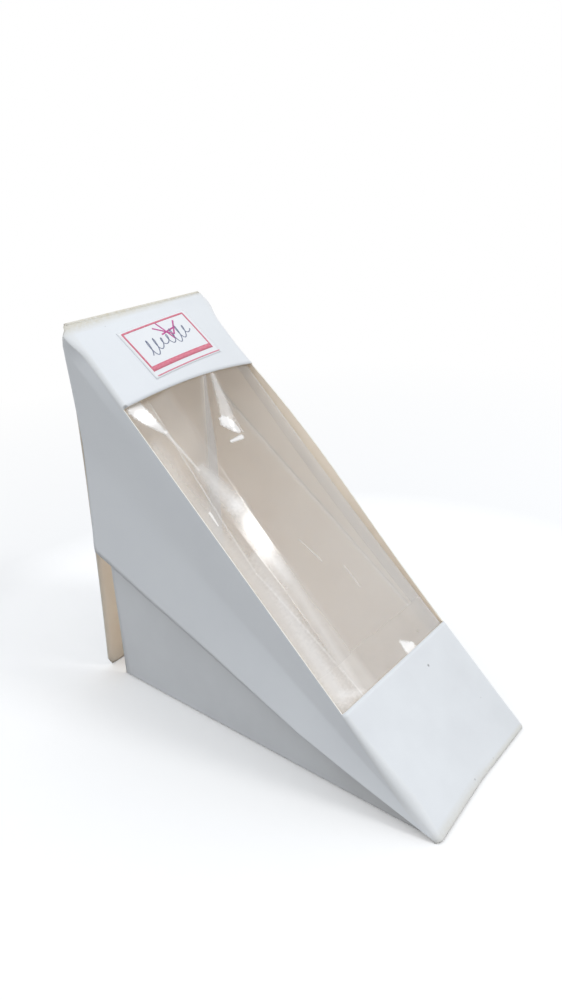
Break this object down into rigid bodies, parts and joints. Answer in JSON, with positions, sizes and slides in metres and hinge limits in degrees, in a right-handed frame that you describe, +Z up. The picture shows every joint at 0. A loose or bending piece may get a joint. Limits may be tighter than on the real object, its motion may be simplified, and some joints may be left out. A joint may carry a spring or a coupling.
{
  "type": "sandwich wedge pack",
  "caption": "Folded white board wedge carton for a sandwich, with a sloping clear film window and a hinged back lid hanging ajar.",
  "frame": {"origin": "middle of the base's underside, halfway from the front tip to the back edge", "axes": "+X across the width, -Y towards the low front tip, +Y towards the tall back, +Z up"},
  "size_m": [0.0606, 0.1312, 0.1225],
  "materials": {
    "board": "smooth coated white outside, warm uncoated inside",
    "film": "clear glossy film",
    "label_paper": "matt white paper with a plain red frame"
  },
  "bodies": {
    "carton": {"carton": "board", "window_film": "film", "price_label": "label_paper"},
    "lid": {"back_lid": "board"}
  },
  "joints": [
    {"name": "lid_hinge", "type": "hinge", "parent": "carton", "child": "lid", "pos_m": [0, 0.0617, 0.1228], "axis": [1, 0, 0], "range_deg": [-2.8, 170]}
  ]
}
